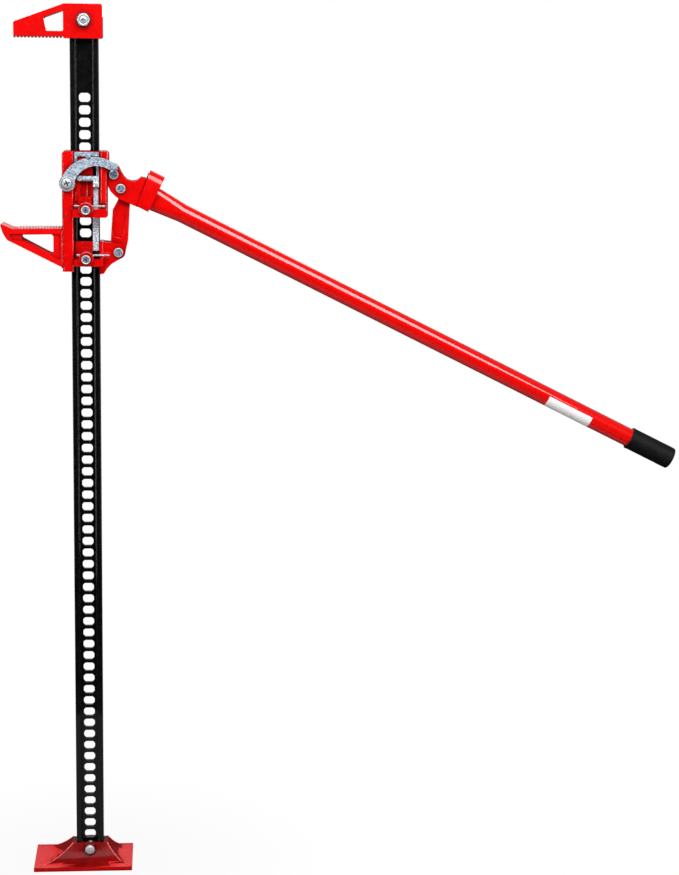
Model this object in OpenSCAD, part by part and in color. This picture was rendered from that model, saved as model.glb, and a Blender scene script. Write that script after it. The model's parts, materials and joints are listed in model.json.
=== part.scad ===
// High lift jack: a notched steel standard, a pair of runners that climb it,
// a reversing latch, and a long handle in a rocking socket.
// Millimetres. X runs towards the handle, Y away from the front, Z up.
// The origin is on the floor, on the axis of the standard.

/* [Standard] */
// Length of the steel standard
rack_len = 1206; // [1200:1:1209]
// Width of the I-section, across its two flanges
rack_w = 38.7; // [37:0.1:39.5]
// Depth of each flange, front to back
rack_d = 20; // [18:0.5:20]
// Width of each flange, along X
flange_w = 7.6; // [6:0.1:8]
// Thickness of the web that the holes go through
web_t = 5; // [4:0.1:5.4]
// Distance from hole to hole
hole_pitch = 16.75; // [16.6:0.05:16.9]
// Number of climbing holes
hole_count = 65; // [60:1:65]
// Width of a climbing hole
hole_w = 15.4; // [14.6:0.1:16]
// Height of a climbing hole
hole_h = 12; // [11.6:0.1:12.4]
// Height of the lowest hole's centre, where the base bolt goes through
first_hole_z = 23.9; // [23:0.1:25]
// Hole that the upper climbing pin faces at rest, counted from the lowest as 0
upper_hole = 55; // [54:1:56]
// Climbing holes between the two pins at rest
pin_spacing_holes = 4; // [4:1:4]

/* [Base plate] */
// Length of the foot along X
base_l = 140; // [130:1:150]
// Depth of the foot along Y
base_w = 91; // [80:1:100]
// How far the foot's centre lies on the nose side of the standard
base_off = 9; // [0:0.5:14]
// Height of the foot's socket above the floor
base_h = 30.5; // [29:0.5:34]
// Height of the foot's outer rim
base_rim_h = 6; // [5:0.5:9]
// Wall of the pressed foot
base_wall = 4; // [3:0.5:5]
// Radius of the base bolt
base_bolt_r = 4.5; // [4:0.1:5]

/* [Top clamp] */
// Reach of the toothed jaw from the standard's axis
clamp_reach = 94; // [86:1:100]
// Height of the clamp's block
clamp_h = 46; // [42:1:50]
// Height of the jaw at its tip
clamp_tip_h = 21; // [18:0.5:24]
// Depth of the clamp, front to back
clamp_d = 34; // [32:0.5:38]
// Radius of the clamp bolt
clamp_bolt_r = 5; // [4:0.1:6]
// Distance from tooth to tooth under the jaw
clamp_tooth_pitch = 4.8; // [4:0.1:6]

/* [Large runner] */
// Gap between a runner and the standard
slide_gap = 0.5; // [0.4:0.05:0.7]
// Wall of the runners in front of and behind the standard
runner_wall = 6; // [5.5:0.1:6.5]
// How far the side columns stand proud of the runner's front wall
post_proud = 5.5; // [5:0.1:6]
// Height of the large runner's top above its climbing pin
runner_rise = 78; // [77.5:0.1:80]
// Depth of the large runner's column below its climbing pin
column_drop = 86.1; // [84:0.1:88]
// Thickness of the shelf that carries the upper climbing pin
shelf_t = 11.3; // [10.8:0.1:11.4]

/* [Lifting nose] */
// Reach of the lifting nose from the column
nose_reach = 84.2; // [80:0.1:88]
// Width of the lifting nose, front to back
nose_w = 44; // [38:1:44]
// Height of the nose where it is welded to the column
nose_root_h = 53.6; // [52:0.1:56]

/* [Climbing pins] */
// Radius of a climbing pin's nose
pin_r = 4.8; // [4.4:0.1:5]
// Distance of the pins' axis from the standard's axis
pin_x = 2; // [1.6:0.1:2.2]
// Travel of a pin, from clear of the web to home in its hole
pin_travel = 7; // [6.5:0.1:7.2]
// Outer radius of the barrels that hold the pins
barrel_r = 10.3; // [10:0.1:10.6]
// Radius of the cross pins
cross_r = 1.6; // [1.4:0.1:1.7]
// Wire radius of a climbing pin's spring
spring_wire_r = 0.5; // [0.4:0.05:0.6]
// Turns of a climbing pin's spring
spring_turns = 4; // [3:1:4]

/* [Latch and walking beam] */
// Thickness of the reversing latch
latch_t = 4.6; // [4:0.1:5]
// Radius of the latch's hub
latch_hub_r = 10.9; // [10:0.1:11.2]
// Outer radius of the latch's curved arm
latch_outer_r = 48.5; // [48:0.1:49.5]
// Inner radius of the latch's curved arm
latch_inner_r = 31.9; // [31:0.1:33]
// Width of the walking beam's lower strip
beam_w = 8; // [7.6:0.1:8.2]
// Thickness of the walking beam
beam_t = 3.5; // [3:0.1:3.8]

/* [Handle socket and pitman] */
// Distance from the socket's pivot to the pitman's pin
crank_r = 21.2; // [20:0.1:22]
// Radius of the socket pivot, the pitman pins and their bores
pivot_r = 4.5; // [4:0.1:5]
// Width of the pitman, front to back
pitman_w = 18; // [16:0.5:18]
// Thickness of each cheek of the socket
cheek_t = 5.5; // [4.5:0.1:6]
// Height of the collar that grips the handle
collar_h = 52.8; // [51.5:0.1:53]
// Length of the collar along the handle
collar_l = 22; // [20:0.1:23]

/* [Handle] */
// Outer radius of the handle tube
tube_r = 13.2; // [12.8:0.1:13.4]
// Wall of the handle tube
tube_wall = 2; // [1.4:0.1:2.6]
// Distance from the socket's pivot to the handle's far end
handle_reach = 889; // [700:1:950]
// Slope of the handle below level at rest, in degrees
handle_angle = 26.3; // [26.2:0.1:26.4]
// Length of the rubber grip
grip_l = 68; // [50:1:120]
// Outer radius of the rubber grip
grip_r = 15.6; // [14.8:0.1:16]

/* [Hidden] */
// Clearances and shared small sizes
run_gap = 0.05;     // radial, a shaft in its bore
face_gap = 0.2;     // between the flat faces of two parts that move
free_gap = 0.4;     // between parts that pass each other
over = 1;           // how far a cut runs past a face
lap = 2;            // how far two forms of one part run into each other
edge_r = 3;         // corner of a cast part
small_r = 1.2;      // corner of a small part
arc_steps = 5;
$fn = 48;

// The standard and the channel that the runners leave round it
chan_x = rack_w / 2 + slide_gap;
chan_y = rack_d / 2 + slide_gap;
wall_y = chan_y + runner_wall;
post_y = wall_y + post_proud;
rack_floor = 6;
rack_top = rack_floor + rack_len;
pin_lift = 0.8;         // a pin's axis above the middle of its hole
z_up = first_hole_z + upper_hole * hole_pitch + pin_lift;
z_low = z_up - pin_spacing_holes * hole_pitch;

// Climbing pins, measured from the front face of the web
pin_tip = web_t / 2 + free_gap;
cross_rise = 4;
cross_y = wall_y + free_gap + cross_r + pin_travel;
collar_gap = 0.3;
pin_collar_t = 1.5;
pin_hub_r = 6.4;
pin_hub_y = wall_y + pin_travel + face_gap;
pin_collar_y = cross_y + cross_r + collar_gap;
spring_room = 7.6;
barrel_in = pin_collar_y + pin_collar_t + spring_room;
barrel_lid = 3;
barrel_y = barrel_in + barrel_lid;
chamber_r = 7;
shank_r = 4;
pin_head_t = 2.2;
pin_head_r = 6.2;
pin_front = barrel_y + pin_travel + face_gap + pin_head_t;
pin_dimple_r = 4.2;
pin_dimple_d = 1.2;
cross_slot_h = 2 * cross_r + 2 * free_gap;
cross_up_x1 = 27.8;
cross_low_x0 = -11.5;
cross_low_x1 = 33.3;
shelf_rise = 0.6;
shelf_y = barrel_y - lap;
boss_x = 9;
boss_proud = 5;
boss_y = wall_y + boss_proud;
boss_h = 14.9;

// Walking beam, in a slot of the runners' front wall
beam_sink = 2.1;
beam_y0 = wall_y - beam_sink;
beam_y1 = beam_y0 - beam_t;
beam_x0 = 10.4;
beam_x1 = beam_x0 + beam_w;
beam_mid_x = 11.6;
beam_mid_w = 6.6;
beam_top_x = 15.5;
beam_top_w = 3.7;
slot_x0 = beam_x0 - free_gap;
slot_mid_x0 = beam_mid_x - 2 * free_gap;
slot_x1 = beam_top_x + beam_top_w + free_gap;
link_r = 2.6;
beam_rise = 9.5;
beam_neck_h = 29;
beam_top_h = 57.8;
beam_foot = z_low + beam_rise;
beam_neck = z_up + beam_neck_h;
beam_top = z_up + beam_top_h;
beam_travel = 15.4;
link_h = 41.2;
link_z = z_up + link_h;
link_y = wall_y + link_r + collar_gap;
link_x0 = -10.2;
bracket_low = 30.2;
bracket_h = 14;
bracket_x = beam_mid_x - 2 * run_gap;

// Large runner
col_x0 = -30.9;
col_x1 = -15.1;
run_x1 = 30.4;
run_wide_x1 = 32.6;
run_wide_h = 50;
top_r = 4.5;
shelf_x1 = 31;
post_x = 21.1;
run_top = z_up + runner_rise;
run_low = z_up + shelf_rise - shelf_t;
col_low = z_up - column_drop;
post_start = 8;
pocket_d = 4.6;
pocket_x0 = -6.1;
pocket_x1 = 8.9;
pocket_low = 16.85;
pocket_high = 45.5;
rib_x = 2.5;
rib_r = 1.9;

// Socket pivot and the lug that carries it
piv_x = 39.3;
piv_h = 46.8;
piv_z = z_up + piv_h;
lug_r = 10;
lug_root_x = 24;
lug_root_share = 1.5;
lug_half = pitman_w / 2;
cheek_in = lug_half + free_gap;
cheek_out = cheek_in + cheek_t;
cheek_r = 12.2;
cheek_arc_a = [224, 82];
swing_clear = 1.5;
swing_low = 19;
head_r = 6.5;
head_t = 3.2;
rear_ring_t = 2.4;

// Pitman
crank_deg = -63.9;
pb_x = piv_x + crank_r * cos(crank_deg);
pb_z = piv_z + crank_r * sin(crank_deg);
pc_x = 45.056;
pc_rise = 7.25;
pc_z = z_low + pc_rise;
pit_len = norm([pb_x - pc_x, pb_z - pc_z]);
pit_lean = atan2(pb_x - pc_x, pb_z - pc_z);
eye_r = 9;
low_eye_r = 9.6;
// Pitman's sides: [distance down from the upper pin, offset from the pin line]
pit_left_shares = [
    [0.06, -0.06], [0.177, -0.033], [0.2745, -0.081], [0.341, -0.1137], [0.469, -0.118],
    [0.616, -0.122], [0.732, -0.1256], [0.809, -0.126], [0.8475, -0.117]
];
pit_right_shares = [
    [0.9, 0.1277], [0.821, 0.142], [0.692, 0.1437], [0.564, 0.1454], [0.435, 0.146], [0.2245, 0.15],
    [0.1, 0.12], [0.04, 0.092]
];
// Shallow panel in each face of the pitman, left of the rim on its right side
pit_panel_shares = [
    [0.25, 0.1], [0.5, 0.09], [0.72, 0.068], [0.78, 0.03], [0.76, -0.07], [0.72, -0.1],
    [0.47, -0.094], [0.345, -0.088], [0.28, -0.055], [0.2, 0.02]
];
pit_panel_d = 1.5;

// Small runner
sm_x0 = col_x1 + free_gap;
sm_x1 = 25.2;
sm_rise = 22.3;
sm_front_rise = 22;
sm_shelf_drop = 0.6;
sm_shelf_t = 9.7;
sm_top = z_low + sm_rise;
sm_front_top = z_low + sm_front_rise;
sm_low = z_low - sm_shelf_drop - sm_shelf_t;
ear_out = cheek_out;
// Ear that carries the pitman's lower pin, in units of its eye's radius
ear_shares = [
    [-1.016, 1.4375, 0.1], [0.224, 1.104, 0.3], [0.724, 0.656, 0.4], [0.87, -0.021, 0.4],
    [0.609, -0.698, 0.4], [-0.13, -1.156, 0.2], [-0.922, -1.625, 0.2], [-1.599, -2.302, 0.2],
    [-2.057, -3.052, 0.1]
];
ear_left_shares = [[-3.167, 0.1], [1.542, 0]];

// Latch
lat_x = -23.7;
lat_h = 34.8;
lat_z = z_up + lat_h;
lat_y = post_y + free_gap;
lat_screw_r = 4;
lat_thread_r = 2.5;
lat_thread_l = 9;
lat_head_r = 6.7;
lat_head_t = 2.8;
lat_tip_r = 5;
lat_tip_boss = 1.2;
// Centres of the arm's two arcs, its tip and its notch, in units of the outer radius
lat_outer_share = [0.7647, -0.2643];
lat_inner_share = [0.8324, -0.1666];
lat_boss_share = [1.3237, 0.4845];
lat_tip_shares = [[1.4124, 0.468], [1.4227, 0.4021], [1.2227, 0.3113]];
lat_notch_shares = [
    [0.495, 0.79], [0.495, 0.7443], [0.5361, 0.695], [0.5876, 0.6536], [0.6392, 0.695],
    [0.6695, 0.7464], [0.6695, 0.79]
];
lat_outer_a = [155, 50.5];
lat_inner_a = [56, 165];
lat_steps = 16;

// Detent plate
det_x0 = -14.1;
det_x1 = 19.4;
det_drop = 1.2;
det_h = 5.7;
det_t = 2.5;
det_leg_w = 4;
det_leg_h = 12.7;
det_tooth_x = 4.8;
det_tooth_w = 7.4;
det_tooth_h = 4.2;

// Handle socket, in its own frame: X along the handle, Z square to it
tube_drop = 5.8;
collar_x = 42.3;
collar_y = 16;
collar_low = -24.9;
collar_slant = 4.1;
tube_in = collar_x + small_r;
flat_h = 33.2;
flat_w = 20;
flat_out = 2.5;
flat_taper = 40;
flat_end = collar_x + collar_l + flat_out;
round_start = flat_end + flat_taper;
grip_lid = 3;
tube_end = handle_reach - grip_lid;
grip_x = handle_reach - grip_l;
// Cheek of the socket: [along, across, corner radius], in units of the collar's height
cheek_shares = [
    [0.023, 0.227, 0], [0.133, 0.144, 0.1], [0.252, 0.065, 0.1], [0.362, 0.027, 0.1],
    [0.479, 0.044, 0.1], [0.588, 0.106, 0.1], [0.64, 0.188, 0.04], [0.656, 0.25, 0.01],
    [0.748, 0.273, 0], [0.92, 0.288, 0], [0.92, -0.48, 0], [0.706, -0.492, 0], [0.423, -0.508, 0.1],
    [0.277, -0.49, 0.1], [0.108, -0.423, 0.1], [-0.01, -0.334, 0]
];

// Top clamp
clamp_x1 = 25.2;
clamp_grip = 37.4;      // how far the clamp comes down over the standard's end
clamp_z0 = rack_top - clamp_grip;
clamp_z1 = clamp_z0 + clamp_h;
clamp_shoulder_x = -26;
clamp_gap = 0.2;
clamp_bolt_rise = 24.6;
clamp_bolt_z = clamp_z0 + clamp_bolt_rise;
clamp_tooth_h = 3.7;
clamp_teeth_x1 = -22.6;
clamp_hex_r = 8.9;
clamp_hex_h = 5.6;
washer_r = 7.6;
washer_t = 1.4;
// Window in the jaw: [along the reach, up the height, corner radius]
clamp_win_shares = [[-0.571, 0.59, 0.02], [-0.292, 0.8, 0.02], [-0.292, 0.205, 0.02], [-0.53, 0.205, 0.02]];

// Base plate
tower_x = 25;
tower_y = 13.2;
pad_x = 24;
pad_y = 12.8;
band_x = 7.5;
band_y = 19.5;
base_dip_share = 0.3;
base_sweep = 2.2;
base_steps = 7;
base_side = 5;
base_head_r = 6.8;
base_head_t = 3.4;
base_bolt_drop = 1.2;
base_bolt_z = first_hole_z - base_bolt_drop;
base_edge_y = base_w / 2;

// Lifting nose: [along the reach, up the root's height, corner radius]
nose_shares = [
    [0, 1, 0], [0.812, 0.983, 0.06], [0.98, 1.1, 0.01], [1, 1.08, 0.01],
    [0.958, 0.87, 0.1], [0.891, 0.696, 0.1], [0, 0, 0]
];
nose_win_shares = [[0.806, 0.828, 0.046], [0.146, 0.845, 0.045], [0.146, 0.285, 0.046]];
nose_panel_shares = [
    [0.031, 0.853, 0.02], [0.031, 0.19, 0.02], [0.62, 0.665, 0.04], [0.8, 0.7, 0.04], [0.865, 0.853, 0.02]
];
nose_panel_d = 2;
nose_foot = 5.65;
nose_ridges = 16;
nose_ridge_h = 0.9;
nose_ridge_end_share = 0.78;
nose_ridge_dip_share = 0.016;

// Rounds the corners of an outline given as [x, y, corner radius]
function unit(v) = v / norm(v);
function corner(a, b, c, r) =
    let (u = unit(a - b), w = unit(c - b), half = acos(u * w) / 2,
         mid = b + unit(u + w) * r / sin(half), p = b + u * r / tan(half) - mid,
         q = b + w * r / tan(half) - mid, start = atan2(p.y, p.x),
         turn = atan2(p.x * q.y - p.y * q.x, p * q))
    [for (i = [0:arc_steps]) let (t = start + turn * i / arc_steps) mid + r * [cos(t), sin(t)]];
function flat2(p) = [p.x, p.y];
function rounded(pts) =
    let (n = len(pts))
    [for (i = [0:n - 1])
        each (pts[i].z <= 0 ? [flat2(pts[i])]
            : corner(flat2(pts[(i + n - 1) % n]), flat2(pts[i]), flat2(pts[(i + 1) % n]), pts[i].z))];
function arc(c, r, span, n) = [for (i = [0:n]) let (a = span[0] + (span[1] - span[0]) * i / n)
    c + r * [cos(a), sin(a)]];
function scaled(shares, sx, sy) = [for (p = shares) [p.x * sx, p.y * sy, p.z * sx]];

// An outline in the X-Z plane, pushed from y0 to y1
module along_y(y0, y1) {
    translate([0, y1, 0]) rotate([90, 0, 0]) linear_extrude(y1 - y0) children();
}
module rod_y(r, y0, y1) {
    translate([0, y1, 0]) rotate([90, 0, 0]) cylinder(r = r, h = y1 - y0);
}
module block(x0, x1, y0, y1, z0, z1) {
    translate([x0, y0, z0]) cube([x1 - x0, y1 - y0, z1 - z0]);
}
// A box with rounded corners in plan
module plan_block(x0, x1, y0, y1, z0, z1, r) {
    translate([0, 0, z0]) linear_extrude(z1 - z0)
        polygon(rounded([[x0, y0, r], [x1, y0, r], [x1, y1, r], [x0, y1, r]]));
}
module face_xz(x0, x1, z0, z1, r) {
    polygon(rounded([[x0, z0, r], [x1, z0, r], [x1, z1, r], [x0, z1, r]]));
}
module at_socket() {
    translate([piv_x, 0, piv_z]) rotate([0, handle_angle, 0]) children();
}

// Foot: a pressed pyramid with a ridge to each corner and sunken panels
function foot_ring(t, inset) =
    let (k = pow(1 - t, base_sweep), x0 = -tower_x + inset, x1 = tower_x - inset, y = tower_y - inset,
         fx0 = -base_off - base_l / 2 + inset, fx1 = -base_off + base_l / 2 - inset,
         fy = base_w / 2 - inset,
         a = x0 + (fx0 - x0) * t, b = x1 + (fx1 - x1) * t, c = y + (fy - y) * t,
         z = base_rim_h - inset + (base_h - base_rim_h) * k, d = sin(180 * t) * base_dip_share)
    [for (side = [[[a, -c], [b, -c]], [[b, -c], [b, c]], [[b, c], [a, c]], [[a, c], [a, -c]]])
        each [for (i = [0:base_side - 1]) let (s = i / base_side, p = side[0] * (1 - s) + side[1] * s)
            [p.x, p.y, z - (z - base_rim_h + inset) * d * sin(180 * s) * 2]]];
module foot_form(inset, floor_z) {
    ring_n = 4 * base_side;
    rings = [for (j = [0:base_steps]) foot_ring(j / base_steps, inset)];
    low = [for (p = rings[base_steps]) [p.x, p.y, floor_z]];
    pts = concat([for (r = rings) each r], low);
    last = base_steps + 1;
    faces = concat(
        [[for (i = [ring_n - 1:-1:0]) i]],
        [for (j = [0:last - 1]) for (i = [0:ring_n - 1]) let (n = (i + 1) % ring_n)
            each [[j * ring_n + i, j * ring_n + n, (j + 1) * ring_n + i],
                  [j * ring_n + n, (j + 1) * ring_n + n, (j + 1) * ring_n + i]]],
        [[for (i = [0:ring_n - 1]) last * ring_n + i]]);
    polyhedron(points = pts, faces = faces);
}
module base_plate() {
    color("firebrick") difference() {
        union() {
            difference() {
                foot_form(0, 0);
                foot_form(base_wall, -over);
            }
            block(-pad_x, pad_x, -pad_y, pad_y, 0, base_h - base_wall);
            // Band that the bolt goes through, front and back
            plan_block(-band_x, band_x, -band_y, band_y, 0, base_bolt_z + base_head_r, small_r);
        }
        // Pocket for the standard
        block(-rack_w / 2 - clamp_gap, rack_w / 2 + clamp_gap, -rack_d / 2 - clamp_gap,
            rack_d / 2 + clamp_gap, rack_floor, base_h + over);
        translate([0, 0, base_bolt_z]) rod_y(base_bolt_r + run_gap, -base_edge_y, base_edge_y);
        // Flats that the bolt's head and nut bear on
        translate([0, 0, base_bolt_z])
            for (s = [-1, 1]) rod_y(base_head_r + over, s > 0 ? band_y : -base_edge_y,
                s > 0 ? base_edge_y : -band_y);
    }
}
module base_bolt() {
    color("silver") translate([0, 0, base_bolt_z]) {
        rod_y(base_bolt_r, -band_y, band_y + base_head_t + lap);
        rod_y(base_head_r, -band_y - base_head_t, -band_y);
    }
}
module base_bolt_nut() {
    color("silver") translate([0, 0, base_bolt_z]) difference() {
        translate([0, band_y + base_head_t, 0]) rotate([90, 0, 0])
            cylinder(r = base_head_r, h = base_head_t, $fn = 6);
        rod_y(base_bolt_r + run_gap, 0, base_w);
    }
}

// Standard: an I-section with a row of barrel-shaped holes
hole_shares = [[-0.5, -0.22], [-0.44, -0.36], [-0.31, -0.5], [0.31, -0.5], [0.44, -0.36], [0.5, -0.22],
    [0.5, 0.22], [0.44, 0.36], [0.31, 0.5], [-0.31, 0.5], [-0.44, 0.36], [-0.5, 0.22]];
module rack() {
    hx = rack_w / 2;
    hy = rack_d / 2;
    wx = hx - flange_w;
    wy = web_t / 2;
    r = small_r;
    color([0.08, 0.08, 0.09]) difference() {
        translate([0, 0, rack_floor]) linear_extrude(rack_len) polygon(rounded([
            [-hx, -hy, r], [-wx, -hy, r], [-wx, -wy, r], [wx, -wy, r], [wx, -hy, r], [hx, -hy, r],
            [hx, hy, r], [wx, hy, r], [wx, wy, r], [-wx, wy, r], [-wx, hy, r], [-hx, hy, r]]));
        along_y(-web_t, web_t)
            for (i = [0:hole_count - 1]) translate([0, first_hole_z + i * hole_pitch])
                polygon([for (p = hole_shares) [p.x * hole_w, p.y * hole_h]]);
        translate([0, 0, clamp_bolt_z]) rod_y(clamp_bolt_r + run_gap, -rack_d, rack_d);
    }
}

// Top clamp: a block over the standard's end, and a toothed jaw over the nose
module top_clamp() {
    jaw_x0 = -clamp_reach;
    half_tooth = clamp_tooth_pitch / 2;
    teeth = floor((clamp_teeth_x1 - jaw_x0) / clamp_tooth_pitch);
    color("red") difference() {
        along_y(-clamp_d / 2, clamp_d / 2) difference() {
            polygon(rounded([
                [jaw_x0, clamp_z0, 0], [clamp_x1, clamp_z0, edge_r], [clamp_x1, clamp_z1, edge_r],
                [clamp_shoulder_x, clamp_z1, edge_r], [jaw_x0, clamp_z0 + clamp_tip_h, edge_r]]));
            for (i = [1:teeth]) translate([jaw_x0 + i * clamp_tooth_pitch - half_tooth, clamp_z0])
                polygon([[-half_tooth, -over], [-half_tooth, 0], [0, clamp_tooth_h],
                    [half_tooth, 0], [half_tooth, -over]]);
            translate([0, clamp_z0]) polygon(rounded(
                [for (p = clamp_win_shares) [p.x * clamp_reach, p.y * clamp_h, p.z * clamp_reach]]));
        }
        block(-rack_w / 2 - clamp_gap, rack_w / 2 + clamp_gap, -rack_d / 2 - clamp_gap,
            rack_d / 2 + clamp_gap, clamp_z0 - over, rack_top + clamp_gap);
        translate([0, 0, clamp_bolt_z]) rod_y(clamp_bolt_r + run_gap, -clamp_d, clamp_d);
    }
}
module clamp_bolt() {
    face = clamp_d / 2;
    color("silver") translate([0, 0, clamp_bolt_z]) {
        rod_y(clamp_bolt_r, -face - washer_t - clamp_hex_h - over, face);
        rod_y(washer_r, face, face + washer_t);
        translate([0, face + washer_t + clamp_hex_h, 0]) rotate([90, 0, 0])
            cylinder(r = clamp_hex_r, h = clamp_hex_h, $fn = 6);
    }
}
module clamp_nut() {
    face = clamp_d / 2;
    color("silver") translate([0, 0, clamp_bolt_z]) difference() {
        union() {
            rod_y(washer_r, -face - washer_t, -face);
            translate([0, -face - washer_t, 0]) rotate([90, 0, 0])
                cylinder(r = clamp_hex_r, h = clamp_hex_h, $fn = 6);
        }
        rod_y(clamp_bolt_r + run_gap, -clamp_d, 0);
    }
}

// Barrel that guides one climbing pin: solid outside, cut by barrel_bore()
module barrel() {
    rod_y(barrel_r, -barrel_y, -wall_y + over);
}
module barrel_bore(left, right) {
    rod_y(pin_r + run_gap, -wall_y - over, 0);
    rod_y(chamber_r, -barrel_in, -wall_y);
    rod_y(shank_r + run_gap, -barrel_y - over, 0);
    block(left, right, -pin_collar_y, -wall_y, cross_rise - cross_slot_h / 2,
        cross_rise + cross_slot_h / 2);
}

// Large runner: sleeve, column, posts, shelf, barrel and the socket's lug
module large_runner() {
    color("red") difference() {
        union() {
            intersection() {
                union() {
                    plan_block(col_x0, run_x1, -wall_y, wall_y, run_low, run_top, edge_r);
                    plan_block(col_x0, col_x1, -post_y, post_y, col_low, run_top, edge_r);
                    for (s = [-1, 1]) plan_block(post_x, run_x1, s > 0 ? chan_y + over : -post_y,
                        s > 0 ? post_y : -chan_y - over, z_up + post_start, run_top, edge_r);
                    for (s = [-1, 1]) plan_block(post_x, run_wide_x1, s > 0 ? chan_y + over : -post_y,
                        s > 0 ? post_y : -chan_y - over, z_up + run_wide_h, run_top, edge_r);
                }
                along_y(-post_y - over, post_y + over)
                    face_xz(col_x0, run_wide_x1, col_low - top_r, run_top, top_r);
            }
            // Shelf
            along_y(-shelf_y, -wall_y + over) face_xz(col_x1 - over, shelf_x1, run_low,
                z_up + shelf_rise, edge_r);
            // Boss behind the barrel
            along_y(-boss_y, -wall_y + over) face_xz(-boss_x, boss_x, run_low, z_up + boss_h, edge_r);
            translate([pin_x, 0, z_up]) barrel();
            // Lug
            along_y(-lug_half, lug_half) polygon(rounded([
                [lug_root_x, piv_z - lug_r * lug_root_share, 0], [piv_x, piv_z - lug_r, 0],
                [piv_x, piv_z + lug_r, 0], [lug_root_x, piv_z + lug_r * lug_root_share, 0]]));
            translate([piv_x, 0, piv_z]) rod_y(lug_r, -lug_half, lug_half);
        }
        block(-chan_x, chan_x, -chan_y, chan_y, col_low - over, run_top + over);
        // Slot that the walking beam slides in, wider below for the beam's broad strip
        block(slot_mid_x0, slot_x1, -wall_y - over, -chan_y + over, run_low - over,
            beam_top + beam_travel + free_gap);
        block(slot_x0, slot_x1, -wall_y - over, -chan_y + over, run_low - over,
            z_up + beam_travel + free_gap);
        // Cored pocket with a rib
        translate([0, -wall_y + pocket_d, z_up]) difference() {
            block(pocket_x0, pocket_x1, -pocket_d - over, 0, pocket_low, pocket_high);
            translate([rib_x, 0, pocket_low - over]) cylinder(r = rib_r, h = pocket_high);
        }
        // Room for the cheeks of the socket to swing
        translate([piv_x, 0, piv_z]) for (s = [-1, 1]) {
            cut_y0 = s > 0 ? lug_half : -cheek_out - free_gap;
            cut_y1 = s > 0 ? cheek_out + free_gap : -lug_half;
            rod_y(cheek_r + swing_clear, cut_y0, cut_y1);
            block(-cheek_r - swing_clear, cheek_r, cut_y0, cut_y1, -swing_low, 0);
        }
        translate([piv_x, 0, piv_z]) rod_y(pivot_r + run_gap, -post_y, post_y);
        translate([lat_x, 0, lat_z]) rod_y(lat_thread_r + run_gap, -post_y - over,
            -post_y + lat_thread_l + over);
        translate([pin_x, 0, z_up]) barrel_bore(col_x1 - pin_x, post_x - pin_x);
    }
}

// Lifting nose, welded to the column: a flanged bracket with a window
module lifting_nose() {
    z0 = col_low + nose_foot;
    step = nose_reach * nose_ridge_end_share / nose_ridges;
    color("red") translate([col_x0, 0, z0]) difference() {
        along_y(-nose_w / 2, nose_w / 2) difference() {
            polygon(rounded([for (p = nose_shares)
                [-p.x * nose_reach, p.y * nose_root_h, p.z * nose_reach]]));
            polygon(rounded([for (p = nose_win_shares)
                [-p.x * nose_reach, p.y * nose_root_h, p.z * nose_reach]]));
            for (i = [1:nose_ridges])
                translate([-i * step, nose_root_h * (1 - nose_ridge_dip_share * i / nose_ridges)])
                    polygon([[-step / 4, 0], [0, -nose_ridge_h], [step / 4, 0], [step / 4, over],
                        [-step / 4, over]]);
        }
        // Shallow panel in each side
        for (s = [-1, 1]) along_y(s > 0 ? nose_w / 2 - nose_panel_d : -nose_w / 2 - over,
            s > 0 ? nose_w / 2 + over : -nose_w / 2 + nose_panel_d)
            polygon(rounded([for (p = nose_panel_shares)
                [-p.x * nose_reach, p.y * nose_root_h, p.z * nose_reach]]));
    }
}

// Detent plate: a bent steel strip with a tooth over the latch's notch
module detent_plate() {
    top = run_top - det_drop;
    color("lightsteelblue") along_y(-wall_y - face_gap - det_t, -wall_y - face_gap) polygon([
        [det_x0, top], [det_x0, top - det_leg_h], [det_x0 + det_leg_w, top - det_leg_h],
        [det_x0 + det_leg_w, top - det_h], [det_tooth_x - det_tooth_w / 2, top - det_h],
        [det_tooth_x, top - det_h - det_tooth_h], [det_tooth_x + det_tooth_w / 2, top - det_h],
        [det_x1, top - det_h], [det_x1, top]]);
}
module socket_pivot_pin() {
    color("silver") translate([piv_x, 0, piv_z]) {
        rod_y(pivot_r, -cheek_out - face_gap, cheek_out + face_gap + rear_ring_t);
        rod_y(head_r, -cheek_out - face_gap - head_t, -cheek_out - face_gap);
        rod_y(head_r, cheek_out + face_gap, cheek_out + face_gap + rear_ring_t);
    }
}
module latch_screw() {
    color("silver") translate([lat_x, 0, lat_z]) {
        rod_y(lat_thread_r, -post_y, -post_y + lat_thread_l);
        rod_y(lat_screw_r, -lat_y - latch_t - face_gap, -post_y);
        rod_y(lat_head_r, -lat_y - latch_t - face_gap - lat_head_t, -lat_y - latch_t - face_gap);
    }
}

// Small runner: a half sleeve round the right flange, shelf, barrel and ears
module small_runner() {
    color("red") difference() {
        union() {
            plan_block(sm_x0, sm_x1, -wall_y, wall_y, sm_low, sm_top, edge_r);
            along_y(-shelf_y, -wall_y + over) face_xz(sm_x0, sm_x1, sm_low,
                z_low - sm_shelf_drop, edge_r);
            along_y(-boss_y, -wall_y + over) face_xz(-boss_x, boss_x, sm_low, z_low + boss_h,
                boss_x - small_r);
            translate([pin_x, 0, z_low]) barrel();
            for (s = [-1, 1]) along_y(s > 0 ? cheek_in : -ear_out, s > 0 ? ear_out : -cheek_in)
                ear_outline();
        }
        block(-chan_x - over, chan_x, -chan_y, chan_y, sm_low - over, sm_top + over);
        block(slot_x0, slot_x1, -wall_y - over, -chan_y + over, sm_low - over, sm_top + over);
        // Front wall is lower than the rear wall
        block(sm_x0 - over, slot_x1 + over, -wall_y - over, -chan_y + over, sm_front_top, sm_top + over);
        translate([pc_x, 0, pc_z]) rod_y(pivot_r + run_gap, -ear_out - over, ear_out + over);
        translate([pin_x, 0, z_low]) barrel_bore(sm_x0 - pin_x - over, slot_x1 - pin_x);
    }
}
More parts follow.
